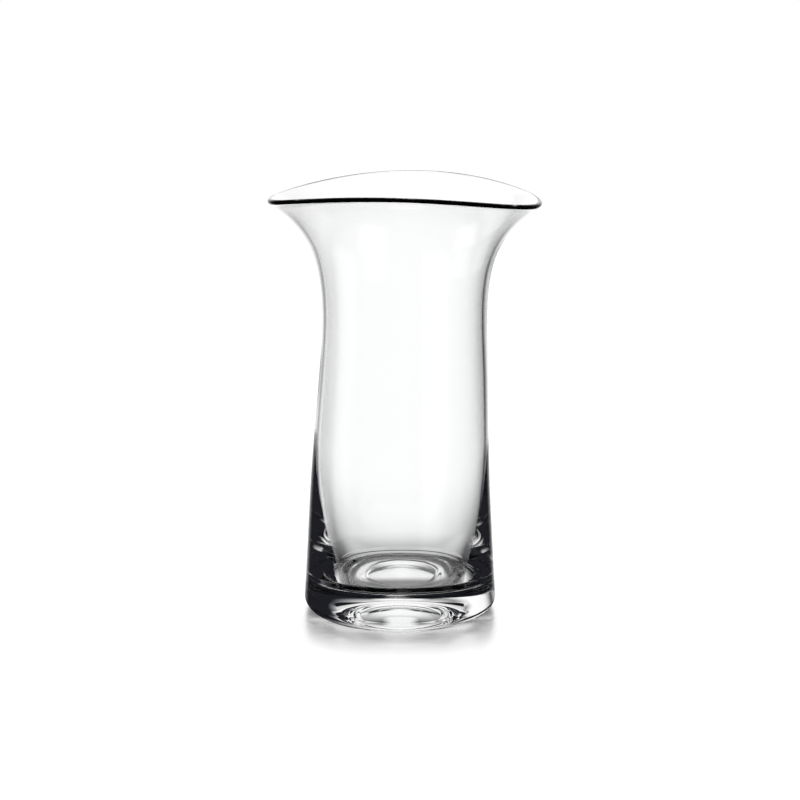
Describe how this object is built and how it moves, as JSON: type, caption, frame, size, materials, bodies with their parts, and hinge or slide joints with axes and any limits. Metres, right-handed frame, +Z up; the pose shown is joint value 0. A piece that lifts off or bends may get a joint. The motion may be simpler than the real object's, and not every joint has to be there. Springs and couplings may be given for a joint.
{
  "type": "flared vase",
  "caption": "Free-standing blown clear glass vase: heavy foot, gently tapering body and a wide flared lip that waves, with a round fire-polished edge.",
  "frame": {"origin": "on the table plane, under the middle of the lip; the foot's own middle lies 2.3 mm to -X of it", "axes": "+Z up; +X to the right and -Y to the viewer as in the picture; the lip is low at its X ends and high at its Y ends"},
  "size_m": [0.1342, 0.1342, 0.216],
  "materials": {
    "clear_glass": "clear colourless blown glass, fire-polished, with a ground and polished hollow under the foot"
  },
  "bodies": {
    "root": {"vase": "clear_glass"}
  },
  "joints": []
}
